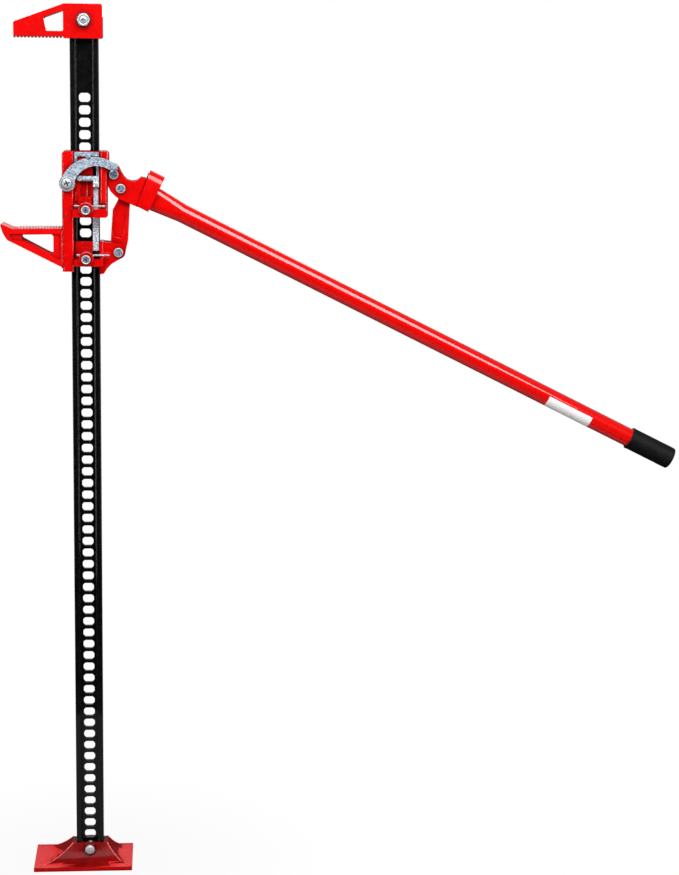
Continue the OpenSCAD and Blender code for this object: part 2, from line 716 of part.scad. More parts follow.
module ear_outline() {
    r = low_eye_r;
    low = ear_left_shares[0];
    top = ear_left_shares[1];
    polygon(rounded(concat([[slot_x1, pc_z + top.x * r, 0]],
        [for (p = ear_shares) [pc_x + p.x * r, pc_z + p.y * r, p.z * r]],
        [[slot_x1, pc_z + low.x * r, low.y * r]])));
}
module pitman_lower_pin() {
    color("silver") translate([pc_x, 0, pc_z]) {
        rod_y(pivot_r, -ear_out - face_gap, -cheek_in);
        rod_y(head_r, -ear_out - head_t, -ear_out);
        rod_y(pivot_r, cheek_in, ear_out + face_gap);
        rod_y(head_r, ear_out, ear_out + rear_ring_t);
    }
}

// One climbing pin, with its nose towards the web
module climbing_pin(z) {
    color("gainsboro") translate([pin_x, 0, z]) difference() {
        union() {
            translate([0, -pin_tip, 0]) rotate([90, 0, 0])
                cylinder(r1 = pin_r - over, r2 = pin_r, h = over, $fn = 48);
            rod_y(pin_r, -wall_y - pin_travel, -pin_tip - over);
            rod_y(shank_r, -pin_front, -wall_y);
            rod_y(pin_hub_r, -pin_collar_y - pin_collar_t, -pin_hub_y);
            rod_y(pin_head_r, -pin_front, -pin_front + pin_head_t);
        }
        rod_y(pin_dimple_r, -pin_front - over, -pin_front + pin_dimple_d);
        translate([-barrel_r * 2, -cross_y, cross_rise]) rotate([0, 90, 0])
            cylinder(r = cross_r + run_gap, h = barrel_r * 4);
    }
}
module cross_pin(z, left, right) {
    color("silver") translate([left, -cross_y, z + cross_rise]) rotate([0, 90, 0])
        cylinder(r = cross_r, h = right - left);
}
// Spring coiled round the shank, between the pin's collar and the barrel's lid
function coil_ring(a, r, y) = [for (k = [0:5]) let (b = k * 60)
    let (c = r + spring_wire_r * cos(b)) [c * cos(a), y + spring_wire_r * sin(b), c * sin(a)]];
module climbing_spring(z) {
    mean_r = (shank_r + chamber_r) / 2;
    y0 = -barrel_in + spring_wire_r + face_gap;
    y1 = -pin_collar_y - pin_collar_t - spring_wire_r - face_gap;
    n = 12 * spring_turns;
    pts = [for (i = [0:n]) each coil_ring(i * 30, mean_r, y0 + (y1 - y0) * i / n)];
    faces = concat([[for (k = [0:5]) k]],
        [for (i = [0:n - 1]) for (k = [0:5]) let (m = (k + 1) % 6)
            each [[i * 6 + k, (i + 1) * 6 + k, i * 6 + m], [i * 6 + m, (i + 1) * 6 + k, (i + 1) * 6 + m]]],
        [[for (k = [5:-1:0]) n * 6 + k]]);
    color("silver") translate([pin_x, 0, z]) polyhedron(points = pts, faces = faces);
}

// Reversing latch: a curved arm on a hub, with a notch for the detent tooth
module reversing_latch() {
    r = latch_outer_r;
    boss = lat_boss_share * r;
    color("lightsteelblue") translate([lat_x, 0, lat_z]) difference() {
        union() {
            along_y(-lat_y - latch_t, -lat_y) difference() {
                polygon(concat(arc(lat_outer_share * r, r, lat_outer_a, lat_steps), lat_tip_shares * r,
                    arc(lat_inner_share * r, latch_inner_r, lat_inner_a, lat_steps)));
                polygon(lat_notch_shares * r);
            }
            rod_y(latch_hub_r, -lat_y - latch_t, -lat_y);
            translate([boss.x, 0, boss.y]) rod_y(lat_tip_r, -lat_y - latch_t - lat_tip_boss, -lat_y);
        }
        rod_y(lat_screw_r + run_gap, -lat_y - latch_t - over, -lat_y + over);
    }
}
module walking_beam() {
    color("lightsteelblue") difference() {
        union() {
            block(beam_x0, beam_x1, -beam_y0, -beam_y1, beam_foot, z_up);
            block(beam_mid_x, beam_mid_x + beam_mid_w, -beam_y0, -beam_y1, z_up - over, beam_neck);
            block(beam_top_x, beam_top_x + beam_top_w, -beam_y0, -beam_y1, beam_neck - over, beam_top);
            block(bracket_x, beam_top_x + beam_top_w, -link_y - link_r, -beam_y1,
                z_up + bracket_low, z_up + bracket_low + bracket_h);
        }
        translate([0, -link_y, link_z]) rotate([0, 90, 0])
            cylinder(r = link_r / 2 + run_gap, h = beam_x1 + over);
    }
}
module beam_link() {
    color("lightsteelblue") translate([link_x0 + link_r, -link_y, link_z]) {
        sphere(r = link_r);
        rotate([0, 90, 0]) cylinder(r = link_r, h = bracket_x - link_x0 - link_r);
        rotate([0, 90, 0]) cylinder(r = link_r / 2, h = beam_x1 - link_x0 - link_r);
    }
}

// Pitman, drawn down from its upper pin and leaned onto the lower one
function down_pin_line(shares) = [for (p = shares) [p.y * pit_len, -p.x * pit_len]];
module pitman() {
    color("red") difference() {
        translate([pb_x, 0, pb_z]) rotate([0, pit_lean, 0]) difference() {
            union() {
                along_y(-lug_half, lug_half) polygon(concat(down_pin_line(pit_left_shares),
                    [[-low_eye_r, -pit_len], [low_eye_r, -pit_len]], down_pin_line(pit_right_shares)));
                rod_y(eye_r, -lug_half, lug_half);
                translate([0, 0, -pit_len]) rod_y(low_eye_r, -lug_half, lug_half);
            }
            for (s = [-1, 1]) along_y(s > 0 ? lug_half - pit_panel_d : -lug_half - over,
                s > 0 ? lug_half + over : -lug_half + pit_panel_d)
                polygon(down_pin_line(pit_panel_shares));
        }
        translate([pb_x, 0, pb_z]) rod_y(pivot_r + run_gap, -pitman_w, pitman_w);
        translate([pc_x, 0, pc_z]) rod_y(pivot_r + run_gap, -pitman_w, pitman_w);
    }
}
module pitman_eye_bush() {
    color("silver") translate([pc_x, 0, pc_z]) rod_y(pivot_r, -lug_half, lug_half);
}
module pitman_upper_pin() {
    color("silver") translate([pb_x, 0, pb_z]) {
        rod_y(pivot_r, -cheek_out, cheek_out + rear_ring_t);
        rod_y(head_r, -cheek_out - head_t, -cheek_out);
        rod_y(head_r, cheek_out, cheek_out + rear_ring_t);
    }
}

// Handle socket: two cheeks and a collar round the flattened end of the tube
module handle_socket() {
    pocket_gap = run_gap + face_gap / 2;
    color("red") difference() {
        at_socket() difference() {
            union() {
                for (s = [-1, 1]) along_y(s > 0 ? cheek_in : -cheek_out, s > 0 ? cheek_out : -cheek_in) {
                    polygon(concat(rounded(scaled(cheek_shares, collar_h, collar_h)),
                        arc([0, 0], cheek_r, cheek_arc_a, lat_steps)));
                }
                // Collar, with its inner face leaning out towards the bottom
                intersection() {
                    translate([collar_x, 0, 0]) rotate([90, 0, 90]) linear_extrude(collar_l)
                        polygon(rounded([[-collar_y, collar_low, edge_r], [collar_y, collar_low, edge_r],
                            [collar_y, collar_low + collar_h, collar_y - small_r],
                            [-collar_y, collar_low + collar_h, collar_y - small_r]]));
                    along_y(-collar_y, collar_y) polygon([
                        [collar_x, collar_low + collar_h], [collar_x + collar_l, collar_low + collar_h],
                        [collar_x + collar_l, collar_low], [collar_x + collar_slant, collar_low]]);
                }
            }
            translate([collar_x - over, 0, -tube_drop]) flat_tube(collar_l + 2 * over,
                flat_h + 2 * pocket_gap, flat_w + 2 * pocket_gap);
        }
        translate([piv_x, 0, piv_z]) rod_y(pivot_r + run_gap, -collar_y * 2, collar_y * 2);
        translate([pb_x, 0, pb_z]) rod_y(pivot_r + run_gap, -collar_y * 2, collar_y * 2);
    }
}
// A stadium section, long side upright, pushed along X
module flat_tube(l, h, w) {
    rotate([90, 0, 90]) linear_extrude(l) {
        square([w, h - w], center = true);
        for (s = [-1, 1]) translate([0, s * (h - w) / 2]) circle(r = w / 2);
    }
}
// Tube, pressed flat at the socket end; shrink takes the same form for the bore
module tube_form(shrink, from, to) {
    translate([from, 0, 0]) flat_tube(flat_end - from, flat_h - 2 * shrink, flat_w - 2 * shrink);
    hull() {
        translate([flat_end - over, 0, 0])
            flat_tube(over, flat_h - 2 * shrink, flat_w - 2 * shrink, $fn = 32);
        translate([round_start, 0, 0]) rotate([0, 90, 0]) cylinder(r = tube_r - shrink, h = over, $fn = 32);
    }
    translate([round_start, 0, 0]) rotate([0, 90, 0]) cylinder(r = tube_r - shrink, h = to - round_start);
}
module handle_tube() {
    color("red") at_socket() translate([0, 0, -tube_drop]) difference() {
        tube_form(0, tube_in, tube_end);
        tube_form(tube_wall, tube_in - over, tube_end + over);
    }
}
module handle_grip() {
    color([0.05, 0.05, 0.05]) at_socket() translate([0, 0, -tube_drop]) difference() {
        union() {
            translate([grip_x, 0, 0]) rotate([0, 90, 0]) cylinder(r = grip_r, h = grip_l - small_r);
            translate([handle_reach - small_r, 0, 0]) rotate([0, 90, 0])
                cylinder(r1 = grip_r, r2 = grip_r - small_r, h = small_r, $fn = 48);
        }
        translate([grip_x - over, 0, 0]) rotate([0, 90, 0])
            cylinder(r = tube_r + run_gap, h = grip_l - grip_lid + over);
    }
}

base_plate();
base_bolt();
base_bolt_nut();
rack();
top_clamp();
clamp_bolt();
clamp_nut();
large_runner();
lifting_nose();
detent_plate();
socket_pivot_pin();
latch_screw();
small_runner();
pitman_lower_pin();
climbing_pin(z_up);  // climbing_pin_upper
cross_pin(z_up, sm_x0, cross_up_x1);  // cross_pin_upper
climbing_spring(z_up);  // climbing_spring_upper
climbing_pin(z_low);  // climbing_pin_lower
cross_pin(z_low, cross_low_x0, cross_low_x1);  // cross_pin_lower
climbing_spring(z_low);  // climbing_spring_lower
reversing_latch();
walking_beam();
beam_link();
pitman();
pitman_eye_bush();
handle_socket();
pitman_upper_pin();
handle_tube();
handle_grip();
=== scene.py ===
"""High lift jack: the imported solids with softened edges, procedural materials and small detail pieces."""

import json
import math

import bmesh
import bpy
from mathutils import Matrix, Vector


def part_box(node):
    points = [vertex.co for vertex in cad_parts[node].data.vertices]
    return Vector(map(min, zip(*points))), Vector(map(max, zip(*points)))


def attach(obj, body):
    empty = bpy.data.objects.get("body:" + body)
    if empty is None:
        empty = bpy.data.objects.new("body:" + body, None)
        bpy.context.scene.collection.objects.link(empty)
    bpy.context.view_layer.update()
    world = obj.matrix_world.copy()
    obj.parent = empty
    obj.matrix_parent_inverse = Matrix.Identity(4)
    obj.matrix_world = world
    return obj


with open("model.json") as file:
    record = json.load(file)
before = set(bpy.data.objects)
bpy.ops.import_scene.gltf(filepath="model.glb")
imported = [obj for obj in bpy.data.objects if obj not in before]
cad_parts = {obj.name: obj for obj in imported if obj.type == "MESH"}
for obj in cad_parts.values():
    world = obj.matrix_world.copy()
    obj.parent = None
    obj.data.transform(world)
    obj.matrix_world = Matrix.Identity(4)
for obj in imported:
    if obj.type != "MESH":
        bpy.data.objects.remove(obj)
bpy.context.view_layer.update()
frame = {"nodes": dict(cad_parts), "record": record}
nodes = frame["nodes"]
scene = bpy.context.scene
scene.view_settings.view_transform = "Standard"

# One millimetre, in the frame's metres
MM = 0.001
# The two sides of the jack along Y, with the words that end the names of their pieces
FRONT, REAR = -1, 1
SIDES = ((FRONT, "front"), (REAR, "rear"))
WHITE = (1, 1, 1, 1)

# Camera: its place in metres, its turns about X, Y and Z in degrees, and the focal length in pixels
CAMERA_AT = (0.114689, -2.835851, 1.140951)
CAMERA_TURN = (10.282, -4.849, 0.833)
FOCAL_PX = 2039.607
# The longer side of the picture in pixels, and the sensor's width that it spans in millimetres
PICTURE_PX = 875
SENSOR = 36
CLIP_NEAR, CLIP_FAR = 0.05, 50
# Rows are the right, down and ahead of a level camera that looks along +Y
LEVEL_VIEW = Matrix(((1, 0, 0), (0, 0, -1), (0, 1, 0)))


def add_camera():
    x, y, z = (math.radians(angle) for angle in CAMERA_TURN)
    turn = Matrix.Rotation(z, 3, "Z") @ Matrix.Rotation(x, 3, "X") @ Matrix.Rotation(y, 3, "Y")
    right, down, ahead = turn @ LEVEL_VIEW
    data = bpy.data.cameras.new("camera")
    data.sensor_fit = "AUTO"
    data.sensor_width = SENSOR
    data.lens = FOCAL_PX * SENSOR / PICTURE_PX
    data.clip_start, data.clip_end = CLIP_NEAR, CLIP_FAR
    obj = bpy.data.objects.new("camera", data)
    scene.collection.objects.link(obj)
    place = Matrix((right, -down, -ahead)).transposed().to_4x4()
    place.translation = Vector(CAMERA_AT)
    obj.matrix_world = place
    scene.camera = obj


def lamp(name, at, aim, size, power):
    """A rectangular lamp: size is its width and height in metres, and power is in watts."""
    data = bpy.data.lights.new(name, "AREA")
    data.shape = "RECTANGLE"
    data.size, data.size_y = size
    data.energy = power
    obj = bpy.data.objects.new(name, data)
    scene.collection.objects.link(obj)
    obj.location = at
    obj.rotation_mode = "QUATERNION"
    obj.rotation_quaternion = (Vector(aim) - Vector(at)).to_track_quat("-Z", "Y")
    return obj


def add_lamps():
    # A long box over the front draws the stripe on the handle; the side boxes draw the upright edges
    lamp("front_top", at=(0.3, -1.98, 2.92), aim=(0.3, 0, 0.8), size=(4.4, 2.0), power=158)
    lamp("left", at=(-2.7, -1.7, 0.9), aim=(0, 0, 0.7), size=(0.5, 2.6), power=30)
    lamp("right", at=(3.0, -1.9, 0.9), aim=(0.2, 0, 0.7), size=(0.5, 2.6), power=30)
    lamp("back", at=(0.3, 2.6, 2.0), aim=(0.2, 0, 0.8), size=(2.4, 1.6), power=20)
    # Soft light thrown back by the floor, without a reflection of its own
    bounce = lamp("bounce", at=(0.3, -1.6, -0.5), aim=(0.3, 0, 0.7), size=(3.0, 0.8), power=16)
    bounce.visible_glossy = False


# Node trees of the world and the materials
def node_tree(owner):
    """The node tree of a world or a material, emptied."""
    owner.use_nodes = True
    owner.node_tree.nodes.clear()
    return owner.node_tree


def add(tree, kind, inputs, **settings):
    """A new node with its settings; each of its inputs is linked to a socket or set to a value."""
    node = tree.nodes.new(kind)
    for key, value in settings.items():
        setattr(node, key, value)
    for key, value in inputs.items():
        if isinstance(value, bpy.types.NodeSocket):
            tree.links.new(value, node.inputs[key])
        else:
            node.inputs[key].default_value = value
    return node


def map_range(tree, value, low, high, to_low, to_high):
    """A value carried from one range to another, and held at its ends."""
    limits = {"From Min": low, "From Max": high, "To Min": to_low, "To Max": to_high}
    return add(tree, "ShaderNodeMapRange", {"Value": value, **limits}).outputs[0]


def product(tree, first, second):
    return add(tree, "ShaderNodeMath", {0: first, 1: second}, operation="MULTIPLY").outputs[0]


def camera_ray(tree):
    return add(tree, "ShaderNodeLightPath", {}).outputs["Is Camera Ray"]


def mix_shader(tree, share, first, second):
    """The first shader where share is 0, and the second where it is 1."""
    inputs = {0: share, 1: first.outputs[0], 2: second.outputs[0]}
    return add(tree, "ShaderNodeMixShader", inputs).outputs[0]


# Strength of the world's light by the Y of its direction, and the share that is left below the horizon
FRONT_Y, BEHIND_Y = -0.3, 0.9
FRONT_STRENGTH, BEHIND_STRENGTH = 0.02, 0.24
HORIZON = 0.1
BELOW_SHARE = 0.12


def add_world():
    """White to the camera; to the surfaces, dark in front and brighter behind and above."""
    world = bpy.data.worlds.new("studio")
    scene.world = world
    tree = node_tree(world)
    direction = add(tree, "ShaderNodeTexCoord", {}).outputs["Generated"]
    split = add(tree, "ShaderNodeSeparateXYZ", {0: direction})
    depth = map_range(tree, split.outputs["Y"], FRONT_Y, BEHIND_Y, FRONT_STRENGTH, BEHIND_STRENGTH)
    rise = map_range(tree, split.outputs["Z"], -HORIZON, HORIZON, BELOW_SHARE, 1)
    light = add(tree, "ShaderNodeBackground", {"Color": WHITE, "Strength": product(tree, depth, rise)})
    shown = add(tree, "ShaderNodeBackground", {"Color": WHITE, "Strength": 1})
    add(tree, "ShaderNodeOutputWorld", {0: mix_shader(tree, camera_ray(tree), light, shown)})


# The floor's radius in metres, and the distances from its middle between which it turns from nearly white
# to white for the camera
FLOOR_R = 0.7
FLOOR_SIDES = 96
FADE_FROM, FADE_TO = 0.1, 0.36
WHITE_SHARE = 0.95
FLOOR_COLOUR = (0.15, 0.15, 0.15, 1)


def add_floor():
    """A floor that is nearly white to the camera near the foot, where it keeps a faint shadow."""
    bm = bmesh.new()
    bmesh.ops.create_circle(bm, cap_ends=True, segments=FLOOR_SIDES, radius=FLOOR_R)
    mesh = bpy.data.meshes.new("floor")
    bm.to_mesh(mesh)
    bm.free()
    obj = bpy.data.objects.new("floor", mesh)
    scene.collection.objects.link(obj)
    material = bpy.data.materials.new("floor")
    tree = node_tree(material)
    body = add(tree, "ShaderNodeBsdfDiffuse", {"Color": FLOOR_COLOUR})
    glow = add(tree, "ShaderNodeEmission", {"Color": WHITE, "Strength": 1})
    where = add(tree, "ShaderNodeTexCoord", {}).outputs["Object"]
    radius = add(tree, "ShaderNodeVectorMath", {0: where}, operation="LENGTH").outputs["Value"]
    fade = map_range(tree, radius, FADE_FROM, FADE_TO, WHITE_SHARE, 1)
    share = product(tree, camera_ray(tree), fade)
    add(tree, "ShaderNodeOutputMaterial", {0: mix_shader(tree, share, body, glow)})
    mesh.materials.append(material)


add_camera()
add_lamps()
add_world()
add_floor()


# Materials: the noise's detail in colour, roughness and bumps, and the span of it that a ramp spreads out
COLOUR_DETAIL, ROUGH_DETAIL, BUMP_DETAIL = 3, 4, 2
NOISE_ROUGH = 0.55
RAMP_AT = (0.3, 0.7)
# Samples of the painted shade that darkens colours in corners
CREVICE_SHADE_SAMPLES = 6


def ramp(tree, source, low, high, at):
    node = add(tree, "ShaderNodeValToRGB", {0: source})
    for element, position, colour in zip(node.color_ramp.elements, at, (low, high)):
        element.position = position
        element.color = (*colour, 1)
    return node.outputs[0]


def noise(tree, where, scale, detail):
    values = {"Vector": where, "Scale": scale, "Detail": detail, "Roughness": NOISE_ROUGH}
    return add(tree, "ShaderNodeTexNoise", values).outputs[0]


def grey(value):
    return (value, value, value)


def surface(name, low, high, scale, rough, rough_scale, bumps=(), colour_at=RAMP_AT, crevice_shade=0,
            metallic=0, specular=0.5, coat=0, coat_rough=0.05, coat_ior=1.5):
    """A Principled surface with noise in its colour, its roughness and its bumps.

    Its colour runs between low and high, at scale, and its roughness between two values, at
    rough_scale. Each bump is a scale and a height in metres. The colour is darkened in corners, as far
    as crevice_shade metres from another face: painted shade.
    """
    material = bpy.data.materials.new(name)
    tree = node_tree(material)
    where = add(tree, "ShaderNodeTexCoord", {}).outputs["Object"]
    colour = ramp(tree, noise(tree, where, scale, COLOUR_DETAIL), low, high, colour_at)
    # Painted shade: the colour is darkened near other faces
    if crevice_shade > 0:
        inputs = {"Color": colour, "Distance": crevice_shade}
        near = add(tree, "ShaderNodeAmbientOcclusion", inputs, samples=CREVICE_SHADE_SAMPLES)
        colour = near.outputs["Color"]
    rough_noise = noise(tree, where, rough_scale, ROUGH_DETAIL)
    roughness = ramp(tree, rough_noise, grey(rough[0]), grey(rough[1]), RAMP_AT)
    normal = {}
    for bump_scale, distance in bumps:
        height = noise(tree, where, bump_scale, BUMP_DETAIL)
        bump = {"Strength": 1, "Distance": distance, "Height": height, **normal}
        normal = {"Normal": add(tree, "ShaderNodeBump", bump).outputs[0]}
    body = add(tree, "ShaderNodeBsdfPrincipled", {
        "Base Color": colour, "Roughness": roughness, **normal,
        "Metallic": metallic, "Specular IOR Level": specular,
        "Coat Weight": coat, "Coat Roughness": coat_rough, "Coat IOR": coat_ior,
    })
    add(tree, "ShaderNodeOutputMaterial", {0: body.outputs[0]})
    return material


# Bumps of the castings, of the foot's pressed sheet, of plated metal and of turned metal
CAST_SKIN = ((420, 0.0001), (120, 0.0002))
FOOT_SKIN = ((420, 0.00012), (90, 0.0003))
PLATED_SKIN = ((900, 0.0002),)
TURNED_SKIN = ((900, 0.00006),)
CAST_COLOURS = {"low": (0.59, 0.0003, 0.0002), "high": (0.72, 0.0006, 0.0004), "scale": 90}

RED = surface("red_paint", low=(0.64, 0.0003, 0.0002), high=(0.71, 0.0006, 0.0004), scale=60,
              rough=(0.3, 0.42), rough_scale=150, specular=0.1, coat=1, coat_rough=0.03, coat_ior=1.8)
CAST_RED = surface("cast_red_paint", **CAST_COLOURS, rough=(0.3, 0.45), rough_scale=200, bumps=CAST_SKIN,
                   crevice_shade=0.009, specular=0.1, coat=0.9, coat_rough=0.06, coat_ior=1.7)
NOSE_RED = surface("nose_red_paint", **CAST_COLOURS, rough=(0.4, 0.55), rough_scale=200, bumps=CAST_SKIN,
                   crevice_shade=0.009, specular=0.1, coat=0.3, coat_rough=0.12)
# A darker copy of the red paint for the foot and the collar's step: painted shade
SHADED_RED = surface("shaded_red_paint", low=(0.15, 0.0004, 0.0006), high=(0.25, 0.0008, 0.0012), scale=70,
                   rough=(0.4, 0.6), rough_scale=160, bumps=FOOT_SKIN, crevice_shade=0.02, specular=0.05,
                   coat=0.12, coat_rough=0.2)
INNER_RED = surface("inner_red_paint", low=(0.6, 0.0004, 0.0003), high=(0.7, 0.0008, 0.0006), scale=90,
                    rough=(0.75, 0.9), rough_scale=200, crevice_shade=0.003, specular=0.02)
# A lighter copy of the red paint for the foot's flats: painted light
LIT_FLAT_RED = surface("lit_flat_red_paint", low=(0.6, 0.004, 0.005), high=(0.74, 0.008, 0.01), scale=70,
                   rough=(0.5, 0.65), rough_scale=160, bumps=((90, 0.0002),), crevice_shade=0.02, specular=0.15,
                   coat=0.3, coat_rough=0.35)
TREAD = surface("pale_tread", low=(0.5, 0.2, 0.2), high=(0.72, 0.42, 0.42), scale=260,
                rough=(0.4, 0.6), rough_scale=300, bumps=((420, 0.0001),))
BLACK = surface("black_paint", low=(0.001, 0.001, 0.0011), high=(0.0028, 0.0028, 0.003), scale=80,
                rough=(0.25, 0.36), rough_scale=120, bumps=((90, 0.00005),), crevice_shade=0.02, specular=0.2,
                coat=0.7, coat_rough=0.05, coat_ior=1.7)
ZINC = surface("zinc", low=(0.09, 0.135, 0.21), high=(0.5, 0.58, 0.67), scale=760, colour_at=(0.41, 0.58),
               rough=(0.4, 0.65), rough_scale=420, bumps=PLATED_SKIN, crevice_shade=0.003, metallic=0.15)
# A lighter copy of the zinc for the walking beam, which lies in the runner's shadow: painted light
LIT_BEAM_ZINC = surface("lit_beam_zinc", low=(0.2, 0.26, 0.34), high=(0.8, 0.86, 0.92), scale=560,
                    colour_at=(0.41, 0.58), rough=(0.35, 0.6), rough_scale=420, bumps=PLATED_SKIN,
                    crevice_shade=0.002, metallic=0.15)
HEAD_ZINC = surface("head_zinc", low=(0.03, 0.055, 0.1), high=(0.3, 0.37, 0.48), scale=620,
                    colour_at=(0.4, 0.62), rough=(0.35, 0.5), rough_scale=500, bumps=((900, 0.0001),),
                    metallic=0.15)
PIN_ZINC = surface("pin_zinc", low=(0.4, 0.43, 0.46), high=(0.72, 0.74, 0.76), scale=700,
                   rough=(0.2, 0.36), rough_scale=500, bumps=TURNED_SKIN, metallic=0.4)
# Dark steel where shade falls: in the cross recess, the groove round the latch screw, behind the clamp nut
# and in the climbing pins' hollows: painted shade
SHADED_STEEL = surface("shaded_steel", low=(0.02, 0.022, 0.026), high=(0.06, 0.065, 0.075), scale=700,
                     rough=(0.3, 0.45), rough_scale=500, bumps=TURNED_SKIN, metallic=0.3)
STEEL = surface("steel", low=(0.25, 0.25, 0.26), high=(0.5, 0.5, 0.52), scale=400,
                rough=(0.2, 0.36), rough_scale=400, bumps=TURNED_SKIN, metallic=0.7)
RUBBER = surface("black_rubber", low=(0.0015, 0.0015, 0.0018), high=(0.004, 0.004, 0.0045), scale=220,
                 rough=(0.5, 0.7), rough_scale=300, bumps=PLATED_SKIN, specular=0.2)
LABEL = surface("blank_label", low=(0.74, 0.7, 0.7), high=(0.86, 0.82, 0.82), scale=300,
                rough=(0.4, 0.5), rough_scale=200)

# Material of each node: by its slot in the record, unless the node has one of its own
SLOT_MATERIALS = {
    "red_paint": CAST_RED, "black_paint": BLACK, "zinc": ZINC, "steel": STEEL, "black_rubber": RUBBER,
}
# The foot's own material is a darker copy of the red paint, painted shade, and the walking beam's a lighter
# copy of the zinc, painted light
OWN_MATERIALS = {
    "handle_tube": RED, "base_plate": SHADED_RED, "lifting_nose": NOSE_RED, "walking_beam": LIT_BEAM_ZINC,
    "socket_pivot_pin": HEAD_ZINC, "pitman_lower_pin": HEAD_ZINC, "pitman_upper_pin": HEAD_ZINC,
    "pitman_eye_bush": PIN_ZINC, "latch_screw": PIN_ZINC, "base_bolt": PIN_ZINC, "base_bolt_nut": PIN_ZINC,
    "clamp_bolt": PIN_ZINC, "clamp_nut": PIN_ZINC,
}
# Edge radius of each node, in millimetres
EDGES = {
    "base_plate": 1.0, "top_clamp": 1.0, "large_runner": 2.1, "small_runner": 1.8, "lifting_nose": 1.3,
    "handle_socket": 1.2, "pitman": 1.8, "rack": 0.8, "reversing_latch": 0.5, "walking_beam": 0.4,
    "beam_link": 0.25, "detent_plate": 0.4, "handle_tube": 0.3, "handle_grip": 0.6, "base_bolt": 0.6,
    "base_bolt_nut": 0.5, "clamp_bolt": 0.5, "clamp_nut": 0.5, "socket_pivot_pin": 0.6, "latch_screw": 0.6,
    "pitman_lower_pin": 0.6, "pitman_upper_pin": 0.6, "climbing_pin_upper": 0.4, "climbing_pin_lower": 0.4,
    "cross_pin_upper": 0.3, "cross_pin_lower": 0.3,
}
# Points closer than this become one, in millimetres, and faces that meet at less than this, in degrees
SAME_POINT = 0.01
SAME_FACE = 0.4
# Edges whose faces meet at more than this, in degrees, are rounded in so many steps
SHARP_EDGE = 32
EDGE_STEPS = 2


def soften(obj, width):
    """Rounds an object's sharp edges with modifiers, and leaves its mesh as it is."""
    for polygon in obj.data.polygons:
        polygon.use_smooth = True
    if "custom_normal" in obj.data.attributes:
        obj.data.attributes.remove(obj.data.attributes["custom_normal"])
    weld = obj.modifiers.new("weld", "WELD")
    weld.merge_threshold = SAME_POINT * MM
    flat = obj.modifiers.new("flat", "DECIMATE")
    flat.decimate_type = "DISSOLVE"
    flat.angle_limit = math.radians(SAME_FACE)
    bevel = obj.modifiers.new("bevel", "BEVEL")
    bevel.width = width * MM
    bevel.segments = EDGE_STEPS
    bevel.limit_method = "ANGLE"
    bevel.angle_limit = math.radians(SHARP_EDGE)
    bevel.miter_outer = "MITER_ARC"
    bevel.harden_normals = True


def paint(name, material, chosen):
    """Gives another material to the faces of a node that are chosen by their middle and normal."""
    obj = nodes[name]
    obj.data.materials.append(material)
    turn = obj.matrix_world.to_3x3()
    for polygon in obj.data.polygons:
        if chosen(obj.matrix_world @ polygon.center / MM, turn @ polygon.normal):
            polygon.material_index = len(obj.data.materials) - 1


slot_of = {part["node"]: part["material_slot"] for part in frame["record"]["subparts"]}
for name, obj in nodes.items():
    obj.data.materials.clear()
    obj.data.materials.append(OWN_MATERIALS.get(name, SLOT_MATERIALS[slot_of[name]]))
    if name in EDGES:
        soften(obj, EDGES[name])

# The lifting nose in millimetres: its height at the column, its top plate's depth there, and its lowest z
NOSE_H = 53.6
NOSE_PLATE = 9.0
NOSE_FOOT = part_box("lifting_nose")[0].z / MM
# The foot in millimetres: half width of its middle, outside which its flats lie, and height of its rim
FLAT_X = 30.0
RIM_Z = 6.0
# Least part of a normal along an axis, for a face that looks that way at all or straight
LOOKS_UP, LOOKS_STRAIGHT = 0.3, 0.9

# The up-facing side of the nose's window is matt. The foot is one red paint, painted lighter on its flats
# and rim than on its tower: painted light and painted shade
paint("lifting_nose", INNER_RED,
      lambda at, normal: at.z < NOSE_FOOT + NOSE_H - NOSE_PLATE and normal.z > LOOKS_UP)
paint("base_plate", LIT_FLAT_RED, lambda at, normal: abs(at.x) > FLAT_X and normal.z > LOOKS_STRAIGHT)
paint("base_plate", NOSE_RED, lambda at, normal: at.z < RIM_Z and abs(normal.y) > LOOKS_STRAIGHT)


# Detail pieces: where faces of their meshes meet at more than this, in degrees, the edge stays sharp
SHARP_CREASE = 50


def piece(name, verts, faces, material, body, smooth=True):
    """A mesh of its own, in place in the frame, that rides on a body."""
    mesh = bpy.data.meshes.new(name)
    mesh.from_pydata([tuple(v) for v in verts], [], faces)
    bm = bmesh.new()
    bm.from_mesh(mesh)
    bmesh.ops.remove_doubles(bm, verts=bm.verts, dist=SAME_POINT * MM)
    bmesh.ops.recalc_face_normals(bm, faces=bm.faces)
    for edge in bm.edges:
        edge.smooth = edge.calc_face_angle(0) < math.radians(SHARP_CREASE)
    bm.to_mesh(mesh)
    bm.free()
    for polygon in mesh.polygons:
        polygon.use_smooth = smooth
    mesh.materials.append(material)
    obj = bpy.data.objects.new(name, mesh)
    scene.collection.objects.link(obj)
    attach(obj, body)


def loft(rings, closed_ends=True):
    """Vertices and faces of a skin over rings of equal length."""
    n = len(rings[0])
    verts = [v for ring in rings for v in ring]
    faces = []
    for start in range(0, len(verts) - n, n):
        for i in range(n):
            after = (i + 1) % n
            faces.append((start + i, start + after, start + n + after, start + n + i))
    if closed_ends:
        faces.append(tuple(range(n)))
        faces.append(tuple(range(len(verts) - n, len(verts))))
    return verts, faces


def round_angles(steps):
    """The angles of so many equal steps round a full turn."""
    return [2 * math.pi * i / steps for i in range(steps)]


# A turned form whose profile ends further out than this, in millimetres, is a ring
LEAST_HOLE = 1


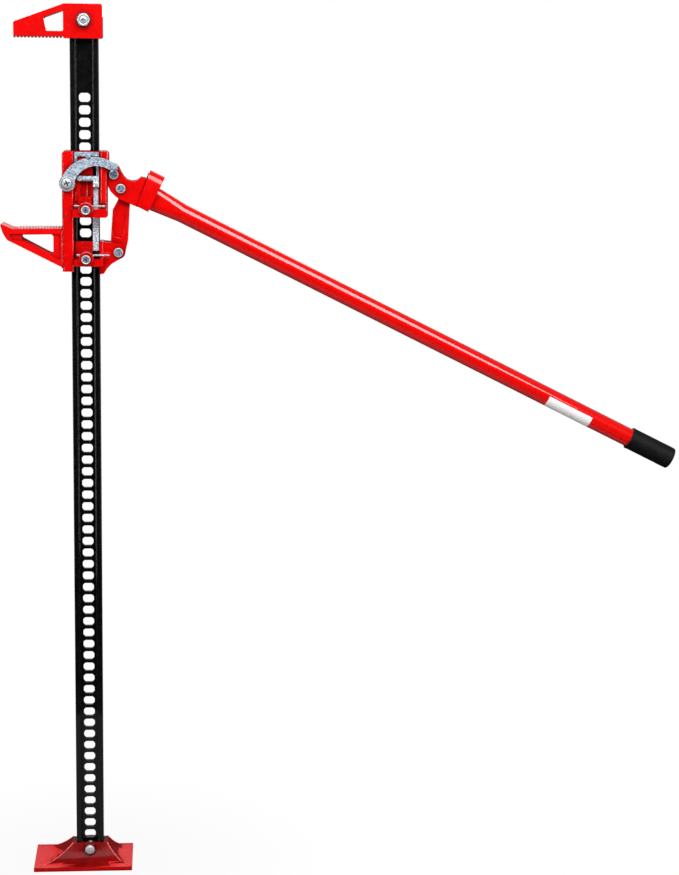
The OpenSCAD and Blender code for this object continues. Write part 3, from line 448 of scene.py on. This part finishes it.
def turned(name, centre, side, profile, material, body, steps=48):
    """A form turned about a line along Y, which stands out of a face towards the front or the rear.

    Its profile is (radius, height off the face) in millimetres, from the outside in.
    """
    x, y, z = centre
    hollow = profile[-1][0] > LEAST_HOLE
    if hollow:
        profile = profile + profile[:1]
    rings = [[(x + r * MM * math.cos(t), y + side * h * MM, z + r * MM * math.sin(t))
              for t in round_angles(steps)] for r, h in profile]
    verts, faces = loft(rings, closed_ends=not hollow)
    piece(name, verts, faces, material, body)


# Directions whose cross product is shorter than this count as parallel
PARALLEL = 0.1


def swept(name, path, radii, material, body, steps=12, flatten=1):
    """A bead along a path in the frame, with a radius in millimetres for each point or one for all."""
    if not isinstance(radii, list):
        radii = [radii] * len(path)
    rings = []
    for i, at in enumerate(path):
        ahead = (path[min(i + 1, len(path) - 1)] - path[max(i - 1, 0)]).normalized()
        side = ahead.cross(Vector((0, 1, 0)))
        if side.length < PARALLEL:
            side = ahead.cross(Vector((0, 0, 1)))
        side.normalize()
        up = side.cross(ahead) * flatten
        rings.append([at + (side * math.cos(t) + up * math.sin(t)) * radii[i] * MM
                      for t in round_angles(steps)])
    verts, faces = loft(rings)
    piece(name, verts, faces, material, body)


def middle(node):
    low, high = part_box(node)
    return (low + high) / 2


def face_middle(node, side):
    """The middle of a node's front or rear face."""
    low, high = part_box(node)
    place = (low + high) / 2
    place.y = low.y if side == FRONT else high.y
    return place


# Heads of the three pivot pins: a bright rim and a domed middle, front and rear
HEAD_RIM = [(6.3, 0), (6.25, 0.35), (5.9, 0.6), (5.2, 0.65), (4.9, 0.3), (4.9, 0)]
HEAD_DOME = [(4.6, 0), (4.5, 0.35), (3.6, 0.6), (2.2, 0.75), (0.9, 0.5), (0.3, 0.45)]
PIVOTS = {
    "socket_pivot_pin": "large_runner_body", "pitman_upper_pin": "handle_body",
    "pitman_lower_pin": "small_runner_body",
}


def pin_heads():
    for node, body in PIVOTS.items():
        for side, word in SIDES:
            at = face_middle(node, side)
            turned(f"{node}_rim_{word}", at, side, HEAD_RIM, PIN_ZINC, body)
            turned(f"{node}_dome_{word}", at, side, HEAD_DOME, HEAD_ZINC, body)


# Hollow ends of the climbing pins: a polished rim, and a cone at the bottom of the hollow, dark with
# painted shade
PIN_RIM = [(6.1, 0), (6, 0.4), (5.5, 0.7), (4.9, 0.6), (4.35, 0.1), (4.3, 0)]
PIN_HOLLOW = [(3.8, -1.15), (3.6, -0.5), (3.0, -0.1), (2.2, -0.2), (1.9, -0.8), (1.9, -1.15)]
PIN_SHADED_EYE = [(2.0, -1.1), (1.7, -0.7), (0.9, -0.45), (0.3, -0.4)]


def climbing_pin_ends():
    for word in ("upper", "lower"):
        node, body = f"climbing_pin_{word}", f"{word}_pin_body"
        at = face_middle(node, FRONT)
        turned(f"{node}_rim", at, FRONT, PIN_RIM, PIN_ZINC, body)
        turned(f"{node}_hollow", at, FRONT, PIN_HOLLOW, HEAD_ZINC, body)
        turned(f"{node}_eye", at, FRONT, PIN_SHADED_EYE, SHADED_STEEL, body)


# Rounded lips on the barrels that hold the climbing pins
BARREL_LIP = [(10.2, 0), (10.15, 0.5), (9.7, 0.95), (9.0, 1.1), (8.2, 0.9), (7.7, 0.4), (7.6, 0)]


def barrel_lips():
    for node, pin in (("large_runner", "climbing_pin_upper"), ("small_runner", "climbing_pin_lower")):
        at = middle(pin)
        at.y = face_middle(node, FRONT).y
        turned(f"{node}_barrel_lip", at, FRONT, BARREL_LIP, CAST_RED, f"{node}_body")


# Latch screw: a domed head with a cross recess, in a groove, on a washer. The cross's floor and the groove
# are dark with painted shade
SCREW_R = 6.5
SCREW_DOME = 1.5
SCREW_RINGS, SCREW_STEPS = 26, 96
# The cross: reach, half width and depth of its arms, widths of the slopes at their ends and sides, height
# of its dark floor of painted shade, and its turn in degrees
CROSS_REACH, CROSS_HALF, CROSS_DEEP = 4.0, 0.85, 1.3
CROSS_END_SLOPE, CROSS_SIDE_SLOPE = 0.6, 0.3
CROSS_FLOOR = 0.75
CROSS_TURN = 20
SHADED_GROOVE = [(7.1, -1.8), (7.1, -0.2), (6.6, 0), (6.2, 0), (6.2, -1.8)]
WASHER = [(9.2, 0), (9.1, 0.45), (8.6, 0.65), (7.4, 0.65), (7.0, 0.4), (7.0, 0)]


def inside_share(distance, slope):
    """1 inside an edge and 0 outside it, across a slope of that width about the edge."""
    return min(1, max(0, distance / slope + 0.5))


def screw_height(u, v):
    """Height of the screw's dome at u, v millimetres from its middle, with the cross cut out."""
    dome = SCREW_DOME * (1 - (u * u + v * v) / SCREW_R ** 2)
    side_share = inside_share(CROSS_HALF - min(abs(u), abs(v)), CROSS_SIDE_SLOPE)
    end_share = inside_share(CROSS_REACH - max(abs(u), abs(v)), CROSS_END_SLOPE)
    return dome - CROSS_DEEP * side_share * end_share


def on_screw(centre, u, v, height):
    """A point of the screw's head, by its place along the cross and its height off the head's seat."""
    sin, cos = math.sin(math.radians(CROSS_TURN)), math.cos(math.radians(CROSS_TURN))
    return centre + Vector((u * cos - v * sin, -height, u * sin + v * cos)) * MM


def screw_dome(centre):
    rings = []
    for j in range(1, SCREW_RINGS + 1):
        r = SCREW_R * j / SCREW_RINGS
        flat = [(r * math.cos(t), r * math.sin(t)) for t in round_angles(SCREW_STEPS)]
        rings.append([on_screw(centre, u, v, screw_height(u, v)) for u, v in flat])
    verts, faces = loft(rings, closed_ends=False)
    faces.append(tuple(range(len(verts) - SCREW_STEPS, len(verts))))
    faces += [(i, (i + 1) % SCREW_STEPS, len(verts)) for i in range(SCREW_STEPS)]
    verts.append(on_screw(centre, 0, 0, screw_height(0, 0)))
    piece("latch_screw_dome", verts, faces, PIN_ZINC, "large_runner_body")


def screw_cross(centre):
    """The dark floor of the cross: painted shade in the recess."""
    a, b = CROSS_REACH, CROSS_HALF
    outline = [(a, -b), (a, b), (b, b), (b, a), (-b, a), (-b, b),
               (-a, b), (-a, -b), (-b, -b), (-b, -a), (b, -a), (b, -b)]
    rings = [[on_screw(centre, u, v, height) for u, v in outline] for height in (0, CROSS_FLOOR)]
    verts, faces = loft(rings)
    piece("latch_screw_cross", verts, faces, SHADED_STEEL, "large_runner_body", smooth=False)


def latch_screw():
    centre = face_middle("latch_screw", FRONT)
    screw_dome(centre)
    screw_cross(centre)
    turned("latch_screw_shaded_groove", centre, FRONT, SHADED_GROOVE, SHADED_STEEL, "large_runner_body")
    latch_y = face_middle("reversing_latch", FRONT).y + LATCH_TIP_BOSS * MM
    turned("latch_washer", (centre.x, latch_y, centre.z), FRONT, WASHER, PIN_ZINC, "latch_body")


# The latch's tip: how far its boss stands out, its radius, and its height over the screw as a share of
# the latch's outer radius
LATCH_TIP_BOSS = 1.2
LATCH_TIP_R = 5.0
LATCH_OUTER_R = 48.5
LATCH_TIP_SHARE = 0.4845
TIP_RIVET = [(4.4, 0), (4.3, 0.3), (3.6, 0.55), (3.0, 0.35), (1.6, 0.55), (0.3, 0.6)]


def latch_tip():
    low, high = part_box("reversing_latch")
    rise = LATCH_TIP_SHARE * LATCH_OUTER_R * MM
    at = (high.x - LATCH_TIP_R * MM, low.y, middle("latch_screw").z + rise)
    turned("latch_tip_rivet", at, FRONT, TIP_RIVET, ZINC, "latch_body")


# Clamp bolt: the nut's chamfer and a dark ring at its seat, painted shadow, the bolt's domed end with its
# centre and a thread, and its head's rear face
NUT_CHAMFER = [(8.2, 0), (7.9, 0.3), (7.0, 0.35), (5.6, 0.35), (5.3, 0)]
BOLT_END = [(4.6, 0), (4.5, 0.3), (3.9, 0.7), (2.4, 1.0), (0.3, 1.1)]
THREAD_RING = [(5.25, 0), (5.3, 0.15), (5.25, 0.35), (4.6, 0.4), (4.6, 0)]
BOLT_CENTRE = [(2.6, 0), (2.5, 0.2), (1.6, 0.35), (0.3, 0.4)]
NUT_SEAT_SHADOW = [(9.6, 0), (9.5, 0.25), (9.0, 0.3), (8.0, 0.3), (8.0, 0)]
HEAD_FACE = [(7.8, 0), (7.5, 0.35), (6.4, 0.5), (3.0, 0.5), (0.3, 0.5)]
# The dark ring of painted shadow lies behind the nut's face, the thread in front of it, and the centre in
# front of the bolt's end
SEAT_SHADOW_BACK = 6.0
CENTRE_OUT = 0.9
THREAD_OUT = 0.4


def clamp_hardware():
    end, head = face_middle("clamp_bolt", FRONT), face_middle("clamp_bolt", REAR)
    nut_y = face_middle("clamp_nut", FRONT).y
    for name, y, side, profile, material in (
            ("clamp_nut_chamfer", nut_y, FRONT, NUT_CHAMFER, PIN_ZINC),
            ("clamp_nut_seat_shadow", nut_y + SEAT_SHADOW_BACK * MM, FRONT, NUT_SEAT_SHADOW, SHADED_STEEL),
            ("clamp_bolt_end", end.y, FRONT, BOLT_END, PIN_ZINC),
            ("clamp_bolt_centre", end.y - CENTRE_OUT * MM, FRONT, BOLT_CENTRE, HEAD_ZINC),
            ("clamp_bolt_thread", nut_y - THREAD_OUT * MM, FRONT, THREAD_RING, PIN_ZINC),
            ("clamp_bolt_head_face", head.y, REAR, HEAD_FACE, PIN_ZINC)):
        turned(name, (end.x, y, end.z), side, profile, material, "standard")


# Ridges of the pressed foot: partly sunk, they fall from its tower along a curve to its corners. Their
# upper ends are at this x, y and z.
TOWER_X, TOWER_Y, TOWER_Z = 24.6, 12.9, 30.5
RIDGE_INSET = 1.5
RIDGE_SINK = 0.35
RIDGE_FALL = 2.2
RIDGE_R = 1.1
RIDGE_STEPS = 20


def foot_ridges():
    low, high = (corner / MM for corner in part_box("base_plate"))
    corner_y = high.y - RIDGE_INSET
    for sx, corner_x, across in ((-1, low.x + RIDGE_INSET, "left"), (1, high.x - RIDGE_INSET, "right")):
        for sy, word in SIDES:
            path = []
            for k in range(RIDGE_STEPS + 1):
                share = k / RIDGE_STEPS
                z = RIM_Z + (TOWER_Z - RIM_Z) * (1 - share) ** RIDGE_FALL - RIDGE_SINK
                path.append(Vector((sx * TOWER_X * (1 - share) + corner_x * share,
                                    sy * (TOWER_Y * (1 - share) + corner_y * share), z)) * MM)
            name = f"foot_ridge_{across}_{word}"
            swept(name, path, RIDGE_R, CAST_RED, "standard", steps=10)


# Dome of the base bolt's head
BASE_DOME = [(6.3, 0), (6.1, 0.6), (5, 1.3), (3, 1.8), (0.3, 2.0)]


def base_hardware():
    front, rear = face_middle("base_bolt", FRONT), face_middle("base_bolt", REAR)
    turned("base_bolt_dome", front, FRONT, BASE_DOME, PIN_ZINC, "standard")
    turned("base_bolt_end", rear, REAR, BOLT_END, PIN_ZINC, "standard")


# Pale tops of the ridges across the nose: bars on its top, which starts at the column and dips to its tip
COLUMN_X = -30.9
TREAD_COUNT, TREAD_STEP = 15, 4.105
TREAD_DIP = 0.055
TREAD_HALF_X, TREAD_HALF_Y = 1.5, 20.9
# Each bar's sections, from its sunk foot up: height over the nose, and share of the width
TREAD_SECTIONS = [(-0.2, 1), (0.1, 1), (1.1, 0.2)]
CORNERS = [(-1, -1), (1, -1), (1, 1), (-1, 1)]


def nose_tread():
    verts, faces = [], []
    for i in range(TREAD_COUNT):
        x = COLUMN_X - (i + 0.5) * TREAD_STEP
        z = NOSE_FOOT + NOSE_H - TREAD_DIP * (i + 0.5)
        rings = [[Vector((x + sx * TREAD_HALF_X * share, sy * TREAD_HALF_Y, z + rise)) * MM
                  for sx, sy in CORNERS] for rise, share in TREAD_SECTIONS]
        bar_verts, bar_faces = loft(rings)
        faces += [tuple(len(verts) + k for k in face) for face in bar_faces]
        verts += bar_verts
    piece("nose_tread", verts, faces, TREAD, "large_runner_body", smooth=False)


# Weld beads between the lifting nose and the column: two up the sides, one at the top, one at the bottom.
# The side beads lie at this x and at this y to either side, between two heights over the nose's lowest z.
WELD_X, WELD_Y = -31.1, 21.3
WELD_LOW, WELD_HIGH = 3.0, 52.5
WELD_R = 1.5
WELD_STEP = 0.9
# The beads across stop short of the sides, and lie over the upper ends and the lower face
ACROSS_INSET = 2
ACROSS_TOP, ACROSS_BOTTOM = 1.0, 0.6
# Waves along a bead: height in millimetres and turn from step to step in radians
COARSE_RIPPLE, COARSE_RATE = 0.22, 1.9
FINE_RIPPLE, FINE_RATE = 0.12, 0.7
SIDE_SWAY, SIDE_RATE = 0.25, 0.9
ACROSS_SWAY, ACROSS_RATE = 0.2, 1.3


def ripples(count, phase):
    """Radii of a weld bead along its length."""
    coarse = [COARSE_RIPPLE * math.sin(COARSE_RATE * i + phase) for i in range(count)]
    fine = [FINE_RIPPLE * math.sin(FINE_RATE * i) for i in range(count)]
    return [WELD_R + a + b for a, b in zip(coarse, fine)]


def nose_welds():
    count = int((WELD_HIGH - WELD_LOW) / WELD_STEP)
    for side, word in SIDES:
        path = []
        for i in range(count):
            x = WELD_X + SIDE_SWAY * math.sin(SIDE_RATE * i + side)
            path.append(Vector((x, side * WELD_Y, NOSE_FOOT + WELD_LOW + i * WELD_STEP)) * MM)
        swept(f"nose_weld_{word}", path, ripples(count, side), CAST_RED, "large_runner_body")
    half = WELD_Y - ACROSS_INSET
    count = int(2 * half / WELD_STEP)
    radii = ripples(count, phase=1)
    for rise, word in ((WELD_HIGH + ACROSS_TOP, "top"), (ACROSS_BOTTOM, "bottom")):
        path = []
        for i in range(count):
            z = NOSE_FOOT + rise + ACROSS_SWAY * math.sin(ACROSS_RATE * i)
            path.append(Vector((WELD_X, i * WELD_STEP - half, z)) * MM)
        swept(f"nose_weld_{word}", path, radii, CAST_RED, "large_runner_body")


# Casting marks on the large runner's front: a curved rib on its wall, and pips and a parting ridge on its
# column. Points are x and the height over the upper climbing pin, in millimetres.
FRONT_WALL = -16.5
COLUMN_FACE = -22.0
RIB = [(-10.2, 28.5), (-11.6, 25), (-12.6, 20.5), (-13.1, 15), (-13.3, 9)]
RIB_RADII = [0.5, 0.9, 1.0, 0.9, 0.5]
RIB_OUT = 0.1
PIPS = [(-28.6, 20.5), (-27.0, -7.5), (-28.4, -22)]
PIP = [(0.9, 0), (0.8, 0.35), (0.5, 0.55), (0.15, 0.6)]
SEAM_X, SEAM_R = -29.6, 0.55
SEAM_LOW, SEAM_HIGH, SEAM_STEP = -30, 24, 3
SEAM_SWAY, SEAM_RATE = 0.3, 0.35
SEAM_SINK = 0.35


def casting_marks():
    pin_z = middle("climbing_pin_upper").z / MM
    rib = [Vector((x, FRONT_WALL - RIB_OUT, pin_z + z)) * MM for x, z in RIB]
    swept("casting_rib", rib, RIB_RADII, CAST_RED, "large_runner_body")
    for k, (x, z) in enumerate(PIPS):
        at = Vector((x, COLUMN_FACE, pin_z + z)) * MM
        turned(f"casting_pip_{k}", at, FRONT, PIP, CAST_RED, "large_runner_body", steps=16)
    seam = []
    for z in range(SEAM_LOW, SEAM_HIGH, SEAM_STEP):
        x = SEAM_X + SEAM_SWAY * math.sin(z * SEAM_RATE)
        seam.append(Vector((x, COLUMN_FACE + SEAM_SINK, pin_z + z)) * MM)
    swept("column_seam", seam, SEAM_R, CAST_RED, "large_runner_body", steps=8)


# Link of the walking beam: a flattened sleeve with a round knuckle, and the pin under it. The sleeve's
# size is its half height and half depth, and the x of its right end.
LINK_HALF_H, LINK_HALF_D = 3.5, 2.7
LINK_END_X = 19.2
# The sleeve's ends: distance from its left or right end, and share of its full height there
SLEEVE_LEFT = [(-0.2, 0.55), (0.5, 0.82), (1.6, 0.96), (3, 1)]
SLEEVE_RIGHT = [(-1, 1), (0, 0.92)]
KNUCKLE = [(3.5, 0), (3.45, 0.25), (3.0, 0.5), (2.0, 0.35), (1.0, 0.5), (0.3, 0.55)]
# The knuckle lies so far in from the sleeve's left end, sunk into it; the pin lies under the sleeve
KNUCKLE_IN, KNUCKLE_SINK = 3.2, 0.35
LINK_PIN = [(2.4, 0), (2.3, 0.2), (1.7, 0.35), (0.3, 0.4)]
LINK_PIN_X, LINK_PIN_DROP = 15.8, 7.8


def link_parts():
    mid = middle("beam_link")
    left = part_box("beam_link")[0].x / MM
    path, radii = [], []
    for end, points in ((left, SLEEVE_LEFT), (LINK_END_X, SLEEVE_RIGHT)):
        for x, share in points:
            path.append(Vector(((end + x) * MM, mid.y, mid.z)))
            radii.append(share * LINK_HALF_H)
    flatten = LINK_HALF_D / LINK_HALF_H
    swept("link_sleeve", path, radii, ZINC, "beam_body", steps=24, flatten=flatten)
    at = ((left + KNUCKLE_IN) * MM, mid.y - (LINK_HALF_D - KNUCKLE_SINK) * MM, mid.z)
    turned("link_knuckle", at, FRONT, KNUCKLE, PIN_ZINC, "beam_body")
    at = (LINK_PIN_X * MM, face_middle("walking_beam", FRONT).y, mid.z - LINK_PIN_DROP * MM)
    turned("link_pin", at, FRONT, LINK_PIN, PIN_ZINC, "beam_body")


# Small spring that lies across the top of the runner's pocket, from one x to another, at a height over the
# upper climbing pin and a depth behind the front wall
COIL_X0, COIL_X1 = -1.0, 8.4
COIL_R, COIL_WIRE = 1.5, 0.5
COIL_TURNS, COIL_STEPS = 4, 16
COIL_RISE, COIL_DEPTH = 43.3, 2.2


def pocket_spring():
    pin_z = middle("climbing_pin_upper").z / MM
    count = COIL_STEPS * COIL_TURNS
    path = []
    for i in range(count + 1):
        t = 2 * math.pi * i / COIL_STEPS
        x = COIL_X0 + (COIL_X1 - COIL_X0) * i / count
        path.append(Vector((x, FRONT_WALL + COIL_DEPTH - COIL_R * math.cos(t),
                            pin_z + COIL_RISE + COIL_R * math.sin(t))) * MM)
    swept("pocket_spring", path, COIL_WIRE, STEEL, "large_runner_body", steps=8)


# Handle: its slope in degrees, and its tube's drop under the pivot and radius in millimetres
HANDLE_ANGLE = 26.3
TUBE_DROP = 5.8
TUBE_R = 13.2


def on_handle(along, degrees, r):
    """A point by its distance along the tube, its angle from the front upwards, and its radius."""
    pivot = middle("socket_pivot_pin")
    slope, t = math.radians(HANDLE_ANGLE), math.radians(degrees)
    ahead = Vector((math.cos(slope), 0, -math.sin(slope)))
    up = Vector((math.sin(slope), 0, math.cos(slope)))
    offset = ahead * along + up * (r * math.sin(t) - TUBE_DROP) - Vector((0, r * math.cos(t), 0))
    return Vector((pivot.x, 0, pivot.z)) + offset * MM


# Bare label: its ends along the tube, and round it in degrees, its gap off the tube and its thickness
LABEL_FROM, LABEL_TO = 686, 756
LABEL_LOW, LABEL_HIGH = -78, 12
LABEL_GAP, LABEL_T = 0.02, 0.2
LABEL_ALONG, LABEL_ROUND = 8, 18


def tube_label():
    inner_r = TUBE_R + LABEL_GAP
    angles = [LABEL_LOW + (LABEL_HIGH - LABEL_LOW) * j / LABEL_ROUND for j in range(LABEL_ROUND + 1)]
    rings = []
    for i in range(LABEL_ALONG + 1):
        along = LABEL_FROM + (LABEL_TO - LABEL_FROM) * i / LABEL_ALONG
        outer = [on_handle(along, angle, inner_r + LABEL_T) for angle in angles]
        inner = [on_handle(along, angle, inner_r) for angle in reversed(angles)]
        rings.append(outer + inner)
    verts, faces = loft(rings)
    piece("tube_label", verts, faces, LABEL, "handle_body")


# Grip: a lip at its start and raised rings further on. Profiles are (distance along, radius).
GRIP_FROM = 821
GRIP_LIP = [(-1.2, 13.3), (-1.0, 14.8), (-0.2, 15.9), (1.4, 16.1), (2.6, 15.7), (2.6, 13.3)]
GRIP_RIB = [(0, 15.4), (0.3, 15.85), (1.1, 15.85), (1.4, 15.4)]
GRIP_RIBS, GRIP_RIB_FROM, GRIP_RIB_STEP = 3, 52, 4
GRIP_STEPS = 64


def grip_ring(name, start, profile):
    """A ring round the grip, whose profile is closed on itself."""
    rings = [[on_handle(start + along, 360 * i / GRIP_STEPS, r) for along, r in profile]
             for i in range(GRIP_STEPS + 1)]
    verts, faces = loft(rings, closed_ends=False)
    piece(name, verts, faces, RUBBER, "handle_body")


def grip_rings():
    grip_ring("grip_lip", GRIP_FROM, GRIP_LIP)
    for k in range(GRIP_RIBS):
        grip_ring(f"grip_rib_{k}", GRIP_FROM + GRIP_RIB_FROM + GRIP_RIB_STEP * k, GRIP_RIB)


# Dark bead along the step where the socket's collar stands proud of its cheeks: painted shade. The step
# runs up and slants back towards the pivot
COLLAR_X, COLLAR_SLANT = 42.0, 4.1
COLLAR_LOW, COLLAR_HIGH = -24.5, 22.5
COLLAR_Y = 15.1
COLLAR_STEP_R = 0.5
COLLAR_STEPS = 12


def collar_step_shade():
    for side, word in SIDES:
        path = []
        for k in range(COLLAR_STEPS + 1):
            share = k / COLLAR_STEPS
            rise = COLLAR_LOW + (COLLAR_HIGH - COLLAR_LOW) * share
            point = on_handle(COLLAR_X + COLLAR_SLANT * (1 - share), degrees=90, r=rise + TUBE_DROP)
            path.append(Vector((point.x, side * COLLAR_Y * MM, point.z)))
        swept(f"collar_step_shade_{word}", path, COLLAR_STEP_R, SHADED_RED, "handle_body", steps=8)


pin_heads()
climbing_pin_ends()
barrel_lips()
latch_screw()
latch_tip()
clamp_hardware()
foot_ridges()
base_hardware()
nose_tread()
nose_welds()
casting_marks()
link_parts()
pocket_spring()
collar_step_shade()
tube_label()
grip_rings()
